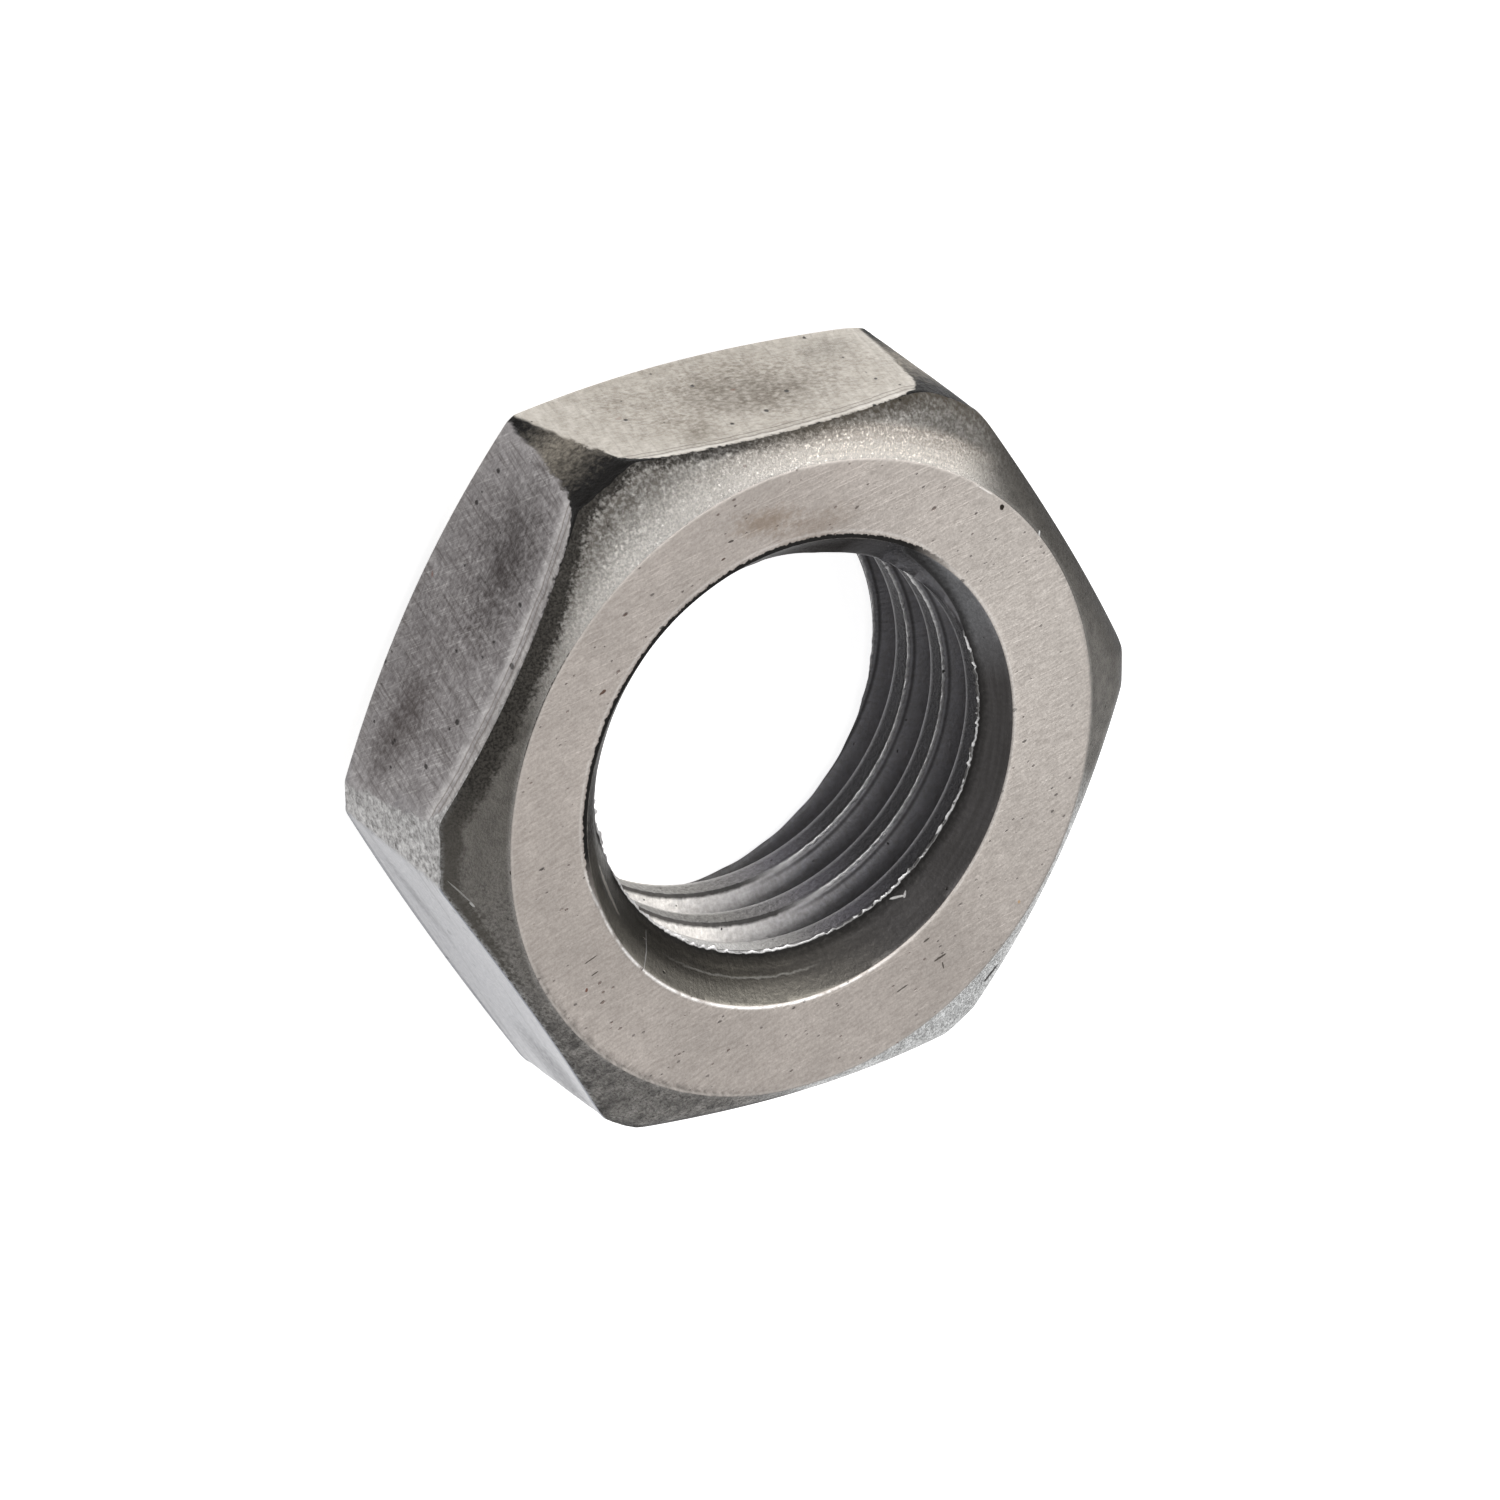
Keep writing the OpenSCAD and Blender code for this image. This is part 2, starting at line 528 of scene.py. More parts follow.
def blend(first, second, share):
    """Colour that goes from the first to the second as the share goes from 0 to 1."""
    tree = share.socket.id_data
    mixed = tree.nodes.new("ShaderNodeMix")
    mixed.data_type = "RGBA"
    tree.links.new(share.socket, mixed.inputs[0])
    for entry, colour in ((mixed.inputs[6], first), (mixed.inputs[7], second)):
        if isinstance(colour, tuple):
            entry.default_value = (*colour, 1)
        else:
            tree.links.new(colour, entry)
    return mixed.outputs[2]


def effect(name, result, **entries):
    """A shader group that several materials share. Returns its tree and its inputs."""
    group = bpy.data.node_groups.new(name, "ShaderNodeTree")
    entries = {"Place": (0.0, 0.0, 0.0), "Direction": 0.0, **entries}
    for entry_name, value in entries.items():
        kind = "NodeSocketVector" if isinstance(value, tuple) else "NodeSocketFloat"
        entry = group.interface.new_socket(entry_name, in_out="INPUT", socket_type=kind)
        entry.default_value = value
    group.interface.new_socket(result, in_out="OUTPUT", socket_type="NodeSocketFloat")
    inputs = group.nodes.new("NodeGroupInput").outputs
    return group, {entry_name: Amount(inputs[entry_name]) for entry_name in entries}


def settle(result):
    """Gives a shared effect its result, kept from 0 to 1."""
    group = result.socket.id_data
    group.links.new(result.at_least(0).at_most(1).socket, group.nodes.new("NodeGroupOutput").inputs[0])


def turned_and_stretched(place, direction, long_size, short_size):
    """A place, turned to a direction and measured in the two sizes given."""
    group = direction.socket.id_data
    turned_place = node_in(group, "ShaderNodeVectorRotate", rotation_type="Z_AXIS",
                           Vector=place, Angle=-direction)
    parts = node_in(group, "ShaderNodeSeparateXYZ", Vector=turned_place.outputs[0]).outputs
    lengthways, sideways, depthways = (Amount(part) for part in parts)
    return point_at(lengthways / long_size, sideways / short_size, depthways / short_size)


# Hairlines that grinding, rolling and handling leave: noise drawn out in one direction
_, wanted = effect("hairlines", "Line", Length=6.0, Width=0.1, Share=0.3, Seed=0.0)
drawn = turned_and_stretched(wanted["Place"], wanted["Direction"], wanted["Length"], wanted["Width"])
drawn_noise = clouds(drawn, 1.0, 2.0, wanted["Seed"])
settle((drawn_noise - 0.72 + wanted["Share"] * 0.4) * 6)

# Pits and specks of uneven size, drawn out in one direction
pits, wanted = effect("pits", "Pit", Spacing=1.0, Stretch=2.0, Size=0.2)
pit_place = turned_and_stretched(wanted["Place"], wanted["Direction"],
                                 wanted["Spacing"] * wanted["Stretch"], wanted["Spacing"])
ragged_noise = node_in(pits, "ShaderNodeTexNoise", Vector=pit_place, Scale=5.0, Detail=2.0)
shaken = node_in(pits, "ShaderNodeVectorMath", operation="SCALE",
                 Vector=ragged_noise.outputs["Color"], Scale=0.12)
ragged_place = node_in(pits, "ShaderNodeVectorMath", Vector=pit_place)
pits.links.new(shaken.outputs[0], ragged_place.inputs[1])
cells = node_in(pits, "ShaderNodeTexVoronoi", Vector=ragged_place.outputs[0], Scale=1.0)
cell_colour = node_in(pits, "ShaderNodeSeparateColor", Color=cells.outputs["Color"])
pit_size = Amount(cell_colour.outputs[0]).power(2.5) * wanted["Size"]
settle((pit_size - Amount(cells.outputs["Distance"])) * 14)

# Stains and scale in cloudy patches
_, wanted = effect("patches", "Patch", Length=2.0, Width=2.0, Share=0.5, Softness=0.2, Seed=0.0)
cloud_place = turned_and_stretched(wanted["Place"], wanted["Direction"],
                                   wanted["Length"], wanted["Width"])
cloud_noise = clouds(cloud_place, 1.0, 6.0, wanted["Seed"], 0.62)
settle((cloud_noise - 0.7 + wanted["Share"] * 0.4) / wanted["Softness"] + 0.5)

# One mark at a place: a stain, a nick or a scratch
spot, wanted = effect("spot", "Spot", Centre=(0.0, 0.0, 0.0), Length=1.0, Width=1.0,
                      Ragged=0.5, Sharpness=3.0)
centred = node_in(spot, "ShaderNodeVectorMath", operation="SUBTRACT", Vector=wanted["Place"])
spot.links.new(wanted["Centre"].socket, centred.inputs[1])
spot_place = turned_and_stretched(centred.outputs[0], wanted["Direction"],
                                  wanted["Length"] / 2, wanted["Width"] / 2)
spot_parts = node_in(spot, "ShaderNodeSeparateXYZ", Vector=spot_place).outputs
spot_distance = (Amount(spot_parts[0]).power(2) + Amount(spot_parts[1]).power(2)).root()
spot_noise = clouds(wanted["Place"].socket, 4.0, 4.0) - 0.5
settle((1 - spot_distance + spot_noise * wanted["Ragged"] * 2) * wanted["Sharpness"])


def apply(effect_name, place, **entries):
    """The share from 0 to 1 that a shared effect gives at a place."""
    group = bpy.data.node_groups[effect_name]
    node = node_in(place.id_data, "ShaderNodeGroup", node_tree=group, Place=place, **entries)
    return Amount(node.outputs[0])


def spots(place, marks, ragged, sharpness, shown=1.0):
    """A layer for each mark, which has a centre, two sizes, a direction, a tint and a strength."""
    return [
        (tint, shown * strength * apply("spot", place, Centre=(*centre, 0), Length=length, Width=width,
                                        Direction=direction, Ragged=ragged, Sharpness=sharpness))
        for centre, length, width, direction, tint, strength in marks
    ]


def layered(colour, *layers):
    """The colour with layers laid on it in turn, each a tint and the share of it that shows."""
    for tint, share in layers:
        colour = blend(colour, tint, share)
    return colour


def open_material(name):
    """Returns a material's tree, the place in millimetres, whole and as three amounts, and a
    measure of direction, which goes from 0 to 1 between two cosines to an azimuth."""
    tree = bpy.data.materials[name].node_tree
    metres = node_in(tree, "ShaderNodeTexCoord").outputs["Object"]
    scaled = node_in(tree, "ShaderNodeVectorMath", operation="SCALE", Vector=metres, Scale=1000.0)
    place = scaled.outputs[0]
    parts = node_in(tree, "ShaderNodeSeparateXYZ", Vector=place).outputs
    across, deep, up = (Amount(part) for part in parts)
    reach = (across * across + deep * deep).root()

    def towards(azimuth, low, high):
        turn = math.radians(azimuth)
        return ((across * math.cos(turn) + deep * math.sin(turn)) / reach).share(low, high)

    return tree, place, across, deep, up, towards


def mark(tree, name):
    """A share that the nut's form has kept for its material."""
    kept = tree.nodes.new("ShaderNodeAttribute")
    kept.attribute_name = name
    return Amount(kept.outputs["Fac"])


def steel(tree, colour, roughness, dirt_and_shade, height, depth_mm):
    """Joins a material's colour, roughness, the dulling of its dirt and painted shade, and its relief to
    its shader.
    """
    shader = tree.nodes["Principled BSDF"]
    tree.links.new(colour, shader.inputs["Base Color"])
    tree.links.new((1 - dirt_and_shade.at_most(1)).socket, shader.inputs["Metallic"])
    shader.inputs["Specular IOR Level"].default_value = 0.1
    tree.links.new(roughness.socket, shader.inputs["Roughness"])
    relief = node_in(tree, "ShaderNodeBump", Height=height, Distance=depth_mm * MM)
    tree.links.new(relief.outputs[0], shader.inputs["Normal"])


# Ground bearing faces: warm grey with fine hairlines, small slanting pits and a few stains
tree, place, across, deep, up, towards = open_material("ground face")
past_circle = mark(tree, "past_circle")
to_mouth = mark(tree, "to_mouth")
grinding = apply("hairlines", place, Direction=1.75, Length=2.2, Width=0.07, Share=0.5, Seed=1.0)
crossing = apply("hairlines", place, Direction=2.4, Length=3.0, Width=0.06, Share=0.35, Seed=5.0)
right_side = towards(100, 0.1, 0.9)
dark_lines = apply("hairlines", place, Direction=1.62, Length=1.2, Width=0.08, Share=0.45, Seed=9.0)
mottle = apply("patches", place, Length=0.55, Width=0.12, Direction=1.94, Softness=0.35, Seed=2.0)
finer_mottle = apply("patches", place, Length=0.08, Width=0.08, Softness=0.3, Seed=14.0)
small_pits = apply("pits", place, Direction=1.94, Spacing=0.24, Stretch=1.6, Size=0.24)
large_pits = apply("pits", place, Direction=1.94, Spacing=0.5, Stretch=1.9, Size=0.16)
pitted = apply("patches", place, Length=3.0, Width=3.0, Share=0.6, Softness=0.3, Seed=11.0)
pit_share = (small_pits * 0.8).at_least(large_pits) * (pitted * 0.6 + 0.4)
rusty = clouds(place, 0.9, 1.0, 6.0).share(0.5, 0.6)
pit_tone = blend((0.045, 0.038, 0.034), (0.11, 0.06, 0.045), rusty)
upper_half = up.share(4.4, 4.6)
near_rim = towards(212, 0.2, 0.45) * upper_half
# Painted highlight: a near-white ring on the rounded edge of the mouth, strongest towards -30 degrees.
mouth_highlight = (to_mouth - near_rim * 0.22).near(0.08, 0.08)
mouth_highlight = mouth_highlight * (towards(-30, 0.55, 0.85) * 0.8 + 0.2) * upper_half
# A near-black ragged line on the face along the mouth, on the side towards 212 degrees; the metal there
# is dulled.
dark_mouth_line = 1 - (to_mouth + (clouds(place, 5.0, 4.0, 12.0) - 0.5) * 0.3).share(0.16, 0.20)
dark_mouth_line = dark_mouth_line * near_rim
scuffed = apply("patches", place, Length=0.5, Width=0.2, Direction=0.5, Softness=0.25, Seed=17.0)
scuffed = scuffed * (past_circle + mottle * 0.2).share(-0.3, -0.02) * towards(-38, 0.8, 0.95)
# Painted highlight: a faint light line along the face's rounded outer edge.
face_edge_highlight = past_circle.near(-0.05, 0.08)
colour = layered(
    blend((0.40, 0.365, 0.335), (0.66, 0.60, 0.55),
          apply("patches", place, Length=4.0, Width=4.0, Share=0.55, Softness=0.6, Seed=3.0)),
    # Painted light: the face is lighter towards the side at 105 degrees.
    ((0.92, 0.86, 0.79), towards(105, 0.3, 1.0) * 0.6),
    ((0.76, 0.72, 0.67), grinding * 0.05 + crossing * right_side * 0.3),
    ((0.22, 0.19, 0.165), dark_lines * 0.14),
    ((0.25, 0.215, 0.19), mottle * 0.5),
    ((0.20, 0.175, 0.155), finer_mottle * 0.42),
    (pit_tone, pit_share * 0.85),
    *spots(place, (
        ((-10.3, -1.5), 3.4, 1.3, 1.5, (0.20, 0.14, 0.09), 0.55),
        ((-9.6, 0.6), 4.2, 1.6, 1.7, (0.24, 0.19, 0.15), 0.45),
    ), 0.9, 1.2),
    *spots(place, (
        ((7.82, 9.28), 0.16, 0.12, 0.3, (0.50, 0.33, 0.18), 0.8),
        ((4.98, -9.11), 0.55, 0.07, 1.94, (0.07, 0.06, 0.05), 0.9),
        ((5.6, -9.0), 0.35, 0.07, 1.94, (0.07, 0.06, 0.05), 0.9),
        ((6.17, -9.36), 0.22, 0.16, 0.0, (0.14, 0.06, 0.04), 0.9),
        ((8.25, 5.19), 0.35, 0.08, 1.94, (0.08, 0.07, 0.06), 0.9),
        ((9.14, 5.8), 0.65, 0.09, 1.9, (0.07, 0.06, 0.05), 0.9),
        ((9.5, 5.9), 0.35, 0.07, 0.2, (0.08, 0.07, 0.06), 0.9),
        ((9.96, 4.11), 0.5, 0.08, 1.94, (0.09, 0.08, 0.07), 0.9),
        ((12.2, 3.9), 0.24, 0.14, 0.8, (0.12, 0.055, 0.04), 0.9),
        ((-9.9, -3.0), 0.30, 0.10, 1.7, (0.06, 0.05, 0.045), 0.9),
        ((-9.3, -3.3), 0.22, 0.10, 1.9, (0.08, 0.05, 0.04), 0.9),
        ((-7.3, -5.9), 0.26, 0.12, 1.5, (0.05, 0.045, 0.04), 0.9),
        ((-6.9, -6.2), 0.16, 0.10, 2.2, (0.05, 0.045, 0.04), 0.9),
        ((-5.4, -8.4), 0.34, 0.14, 2.0, (0.09, 0.05, 0.035), 0.9),
        ((-8.42, 8.51), 0.24, 0.2, 0.0, (0.03, 0.025, 0.02), 1.0),
        ((-9.27, 7.77), 0.9, 0.05, 0.9, (0.85, 0.82, 0.78), 0.9),
    ), 0.9, 6.0),
    ((0.98, 0.96, 0.93), mouth_highlight * clouds(place, 2.5, 2.0, 8.0).share(0.3, 0.5)),
    ((0.010, 0.009, 0.008), dark_mouth_line),
    ((0.11, 0.10, 0.09), scuffed * 0.75),
    ((0.66, 0.63, 0.59), face_edge_highlight * 0.2),
)
roughness = clouds(place, 1.2, 3.0, 4.0) * 0.16 + 0.29
steel(tree, colour, roughness, dark_mouth_line.at_least(pit_share * 0.6),
      grinding * 0.1 + crossing * 0.08 - pit_share * 0.8 - mottle * 0.05, 0.03)

# Chamfers: a bright turned band beside the face on one side, dark sparkling scale elsewhere
tree, place, across, deep, up, towards = open_material("chamfer")
past_circle = mark(tree, "past_circle")
to_edge = mark(tree, "to_edge")
raggedness = clouds(place, 2.2, 4.0, 1.0) - 0.5
lower_end = 1 - up.share(4.4, 4.6)
speckle = apply("patches", place, Length=0.15, Width=0.15, Softness=0.2, Seed=6.0)
fine_speckle = apply("patches", place, Length=0.09, Width=0.09, Softness=0.2, Seed=12.0)
scraped = apply("hairlines", place, Direction=0.5, Length=0.9, Width=0.055, Share=0.55, Seed=3.0)
sparkling = towards(190, 0.55, 0.9).at_least(lower_end * 0.5)
low_side = towards(-38, 0.55, 0.85)
scale_tone = blend((0.05, 0.047, 0.043), (0.42, 0.40, 0.375), speckle * 0.55 + fine_speckle * 0.35)
scale_patch = apply("patches", place, Length=0.9, Width=0.5, Direction=0.5, Softness=0.5, Seed=18.0)
bright_width = towards(185, 0.65, 0.95) * 1.2 + 0.6
near_circle = 1 - ((past_circle + raggedness * 0.5) / bright_width).share(0.1, 1.0)
glints = (speckle * 0.5 + near_circle * 0.95 - 0.03).at_least(0).at_most(1)
band_ends = towards(229, -0.02, 0.16) * towards(112, -0.12, 0.45)
on_band = (1 - (past_circle + raggedness * 0.25).share(1.0, 1.3)) * band_ends
turning = clouds(point_at(past_circle * 9, past_circle * 0, up * 0), 1.0, 2.0, 3.0)
band_colour = blend((0.60, 0.55, 0.485), (0.92, 0.87, 0.80),
                    turning.share(0.35, 0.65) * 0.5 + (1 - past_circle.share(0.1, 1.2)) * 0.5)
band_colour = blend(band_colour, (0.16, 0.13, 0.105),
                    (1 - fine_speckle * 0.8) * (past_circle.share(0.3, 1.2) * 0.7 + 0.26))
band_colour = blend(band_colour, (0.13, 0.06, 0.04),
                    apply("pits", place, Direction=0.8, Spacing=0.4, Stretch=1.5, Size=0.2) * 0.85)
# Painted highlight: a faint light line along the chamfer's rounded edge at the circle.
circle_highlight = past_circle.near(0.03, 0.12)
silvery = towards(32, 0.72, 0.84)
silver_tone = blend((0.20, 0.20, 0.195), (0.92, 0.93, 0.92), speckle * 0.5 + scale_patch * 0.5)
silver_tone = blend(silver_tone, (0.10, 0.097, 0.093), scraped * 0.7)
dragged = towards(-32, 0.93, 0.985)
# The chamfer darkens in a band along the hexagon edges, near black and dulled on the side towards 185
# degrees, dark tinted grey elsewhere.
dark_width = towards(250, 0.7, 0.95) * 0.5
soft_width = towards(140, 0.35, 0.95) * 0.35 + 0.25
past_dark_edge = to_edge + raggedness * 0.4 + (speckle - 0.5) * 0.2 - dark_width
near_edge = 1 - (past_dark_edge / soft_width).share(0.1, 1.0)
dark_edge_side = towards(185, -0.1, 0.3)
dark_edge_tone = blend((0.020, 0.018, 0.015), (0.085, 0.078, 0.068), fine_speckle)
dark_edge_tone = blend(dark_edge_tone, (0.11, 0.094, 0.070), towards(160, 0.85, 0.98) * 0.8)
blued = near_edge * (1 - dark_edge_side) * (1 - silvery)
low_line = 1 - (to_edge + raggedness * 0.2).share(0.08, 0.30)
low_line = low_line * towards(-18, 0.95, 0.98)
blue_side = blend((0.07, 0.064, 0.052), (0.07, 0.075, 0.085), towards(72, 0.7, 0.9))
edge_nicks = (1 - to_edge.share(0.02, 0.14)) * speckle * (1 - dark_edge_side) * (1 - low_line)
large_pits = apply("pits", place, Direction=0.4, Spacing=0.6, Stretch=1.3, Size=0.16)
outer_edge = (1 - (to_edge + raggedness * 0.3).share(0.1, 1.1)) * towards(115, 0.86, 0.93)
low_corner = towards(-33, 0.82, 0.92)
blotches = apply("patches", place, Length=1.1, Width=0.45, Direction=2.3, Softness=0.3, Seed=21.0)
notch = apply("spot", place, Centre=(10.7, 8.28, 9.0), Length=0.9, Width=0.18, Direction=2.36,
              Ragged=0.5, Sharpness=6.0)
colour = layered(
    blend((0.055, 0.052, 0.046), (0.20, 0.19, 0.17),
          apply("patches", place, Length=0.5, Width=0.5, Softness=0.5, Seed=2.0)),
    ((0.34, 0.32, 0.29), towards(-75, 0.75, 1.0) * 0.3),
    ((0.25, 0.23, 0.205), fine_speckle * 0.3),
    (scale_tone, low_side * (scale_patch * 0.55 + 0.25)),
    ((0.22, 0.20, 0.175), sparkling * (1 - speckle) * 0.8),
    ((0.97, 0.93, 0.87), sparkling * glints * (fine_speckle * 0.4 + 0.6)),
    (band_colour, on_band),
    (silver_tone, silvery),
    ((0.60, 0.58, 0.55), circle_highlight * 0.25),
    ((0.34, 0.33, 0.31), dragged * scraped * 0.5),
    (dark_edge_tone, near_edge * dark_edge_side * 0.92),
    (blue_side, blued * 0.7),
    ((0.62, 0.62, 0.62), edge_nicks * 0.6),
    ((0.02, 0.018, 0.015), large_pits * (1 - on_band) * 0.8),
    *spots(place, (
        ((0.65, -12.3), 0.22, 0.13, 0.2, (0.03, 0.022, 0.018), 1.0),
        ((10.7, 8.28), 0.9, 0.18, 2.36, (0.03, 0.028, 0.026), 1.0),
        ((1.35, -13.9), 1.3, 0.06, 0.68, (0.36, 0.35, 0.33), 1.0),
        ((1.85, -13.55), 0.3, 0.09, 0.68, (0.55, 0.54, 0.52), 1.0),
        ((-6.85, 10.1), 0.5, 0.14, 2.6, (0.95, 0.94, 0.92), 1.0),
    ), 0.5, 6.0),
    ((0.02, 0.019, 0.018), low_line),
    ((0.045, 0.040, 0.034), outer_edge * 0.8),
    ((0.05, 0.047, 0.044), blotches * low_corner * 0.75),
    ((0.50, 0.48, 0.45), (1 - blotches) * low_corner * fine_speckle * 0.4),
)
roughness = 0.5 - on_band * 0.24 - speckle * sparkling * 0.16
dirt_and_shade = near_edge * dark_edge_side * (1 - fine_speckle * 0.6) * 0.7
for dull in (blued * 0.45, low_line * 0.9, outer_edge * 0.7, blotches * low_corner * 0.6, notch * 0.9,
             silvery * scraped * 0.6, large_pits * (1 - on_band) * 0.8):
    dirt_and_shade = dirt_and_shade.at_least(dull)
steel(tree, colour, roughness, dirt_and_shade, speckle * 0.8 * (1 - on_band) * (sparkling * 0.8 + 0.2)
      + fine_speckle * 0.3 + turning * on_band * 0.12 - large_pits, 0.05)

# Rolled flats and the mill skin of the corners, each flat with a tone of its own, partly painted light
# and shade
tree, place, across, deep, up, towards = open_material("rolled bar")
bevel = mark(tree, "bevel")
to_bevel = mark(tree, "to_bevel")
to_edge = mark(tree, "to_edge")
azimuth = deep.worked("ARCTAN2", across) * (180 / math.pi)
flat_index = ((azimuth / 60) + 6.5).whole().remainder(6)
flat_turn = flat_index * math.radians(60)
along_flat = deep * flat_turn.cosine() - across * flat_turn.sine()
flat_place = point_at(along_flat, up, flat_index * 23)


def tone_by_flat(*tones):
    """The tone that belongs to the flat, counted from the one at 0 degrees."""
    ramp = node_in(tree, "ShaderNodeValToRGB")
    ramp.color_ramp.interpolation = "CONSTANT"
    while len(ramp.color_ramp.elements) < len(tones):
        ramp.color_ramp.elements.new(0.5)
    for number, tone in enumerate(tones):
        ramp.color_ramp.elements[number].position = number / 6
        ramp.color_ramp.elements[number].color = (*tone, 1)
    tree.links.new(((flat_index + 0.5) / 6).socket, ramp.inputs[0])
    return ramp.outputs[0]


# Painted light and shade: of the plain tones the flat at 180 degrees is the lightest and the one at 240
# degrees the darkest, and that flat's stain tone is the darkest too.
flat_tone_with_painted_light = tone_by_flat((0.42, 0.40, 0.375), (0.44, 0.42, 0.39), (0.40, 0.375, 0.35),
                          (0.56, 0.525, 0.47), (0.31, 0.296, 0.294), (0.39, 0.39, 0.40))
stain_tone_with_painted_light = tone_by_flat((0.17, 0.15, 0.135), (0.16, 0.14, 0.125), (0.17, 0.145, 0.125),
                          (0.17, 0.14, 0.105), (0.065, 0.055, 0.054), (0.27, 0.27, 0.29))
in_middle = 1 - ((along_flat.size() / 7.5).power(2) + ((up - 4.2) / 4.6).power(2)).share(0.1, 1.0)
stain = apply("patches", flat_place, Length=3.0, Width=1.8, Softness=0.5, Seed=4.0)
fine_stain = apply("patches", flat_place, Length=0.22, Width=0.18, Softness=0.22, Seed=8.0)
finer_stain = apply("patches", flat_place, Length=0.10, Width=0.10, Softness=0.3, Seed=13.0)
stained = (stain * (in_middle * 0.8 + 0.2) + in_middle * 0.3).at_most(1)
calm = towards(300, 0.8, 0.9)
on_left = towards(240, 0.86, 0.87)
on_top = towards(180, 0.86, 0.87)
stain_grain = fine_stain * finer_stain * (1 - calm * 0.8) * 0.3
rolling = apply("hairlines", flat_place, Direction=0.0, Length=2.4, Width=0.10, Share=0.45, Seed=2.0)
slanting = apply("hairlines", flat_place, Direction=1.3, Length=1.6, Width=0.09, Share=0.5, Seed=6.0)
handled = apply("hairlines", flat_place, Direction=2.2, Length=1.0, Width=0.06, Share=0.45, Seed=7.0)
drawn_stain = apply("patches", flat_place, Length=1.6, Width=0.35, Direction=1.25,
                    Softness=0.35, Seed=16.0)
flat_stains = []
stain_film = 0.0
for centre, length, width, direction, tint, here in (
    ((-3.4, 5.0), 7.4, 4.4, 0.15, (0.035, 0.027, 0.025), on_left),
    ((4.0, 3.2), 6.0, 3.0, -0.1, (0.070, 0.056, 0.053), on_left),
    ((-0.8, 4.4), 7.0, 5.0, -0.30, (0.11, 0.090, 0.065), on_top),
    ((2.9, 6.6), 2.6, 1.6, 0.9, (0.17, 0.145, 0.11), on_top),
    ((-5.0, 2.6), 3.4, 2.4, 0.3, (0.20, 0.18, 0.15), on_top),
    ((5.4, 5.6), 6.4, 4.0, 0.2, (0.10, 0.10, 0.11), calm),
    ((-3.0, 3.0), 6.0, 1.6, 0.2, (0.24, 0.24, 0.25), calm),
):
    shade = here * (0.45 + drawn_stain * 0.55) * apply(
        "spot", flat_place, Centre=(*centre, 0), Length=length, Width=width, Direction=direction,
        Ragged=0.8, Sharpness=1.3)
    flat_stains.append((tint, shade * (fine_stain * 0.35 + 0.6)))
    stain_film = (shade * (1 - on_top) * (fine_stain * 0.25 + 0.45)).at_least(stain_film)
skin_grain = apply("patches", place, Length=0.22, Width=0.22, Softness=0.25, Seed=1.0)
into_corner = (1 - to_bevel / 1.2).at_least(0).power(2) + (1 - to_edge / 1.2).at_least(0).power(2)
worn_corner = (into_corner.root() + (skin_grain - 0.5) * 0.12).share(0.95, 1.03) * up.share(4.4, 4.6)
bevel = bevel.at_least(worn_corner * (on_top + on_left))
bar_pits = apply("pits", flat_place, Direction=1.3, Spacing=0.5, Stretch=1.5, Size=0.22)
rust_pits = apply("pits", flat_place, Direction=0.5, Spacing=1.1, Stretch=1.8, Size=0.13)
near_lip = to_edge + (clouds(flat_place, 1.4, 2.0, 9.0) - 0.5) * 0.25
# Painted highlight: a pale band along the rolled lip at each flat's edges, strongest towards the upper
# face, and a wider pale band further in on the flat at 240 degrees; a darker line runs beside them.
uneven_highlight = clouds(flat_place, 1.1, 3.0, 5.0).share(0.4, 0.6) * 0.6 + 0.4
lip_highlight = near_lip.near(0.20, 0.26) * (1 - bevel) * uneven_highlight
lip_highlight = lip_highlight * (1 - on_left * 0.6) * (up.share(3.0, 5.0) * 0.85 + 0.15)
second_line = (near_lip - 0.52).size().near(0.12, 0.05) * up.share(4.0, 5.0)
inner_highlight_band = near_lip.near(0.75, 0.4) * on_left * uneven_highlight * up.share(4.0, 5.0)
streaks = apply("hairlines", flat_place, Direction=-0.12, Length=3.5, Width=0.35, Share=0.5, Seed=15.0)
blued_edge = (1 - near_lip.share(0.05, 0.4)) * calm
pale_skin = blend((0.13, 0.125, 0.12), (0.62, 0.61, 0.60), skin_grain * 0.6 + finer_stain * 0.4)
brown_skin = blend((0.09, 0.078, 0.062), (0.36, 0.325, 0.27), skin_grain * 0.5 + finer_stain * 0.5)
off_edge = (to_edge + (skin_grain - 0.5) * 0.8).share(0.8, 2.9)
brown_skin = blend((0.012, 0.011, 0.010), brown_skin, off_edge)
is_pale = towards(285, 0.55, 0.85)
skin_dirt = bevel * (1 - is_pale) * (1 - to_edge.share(0.8, 2.4) * 0.5) * 0.8
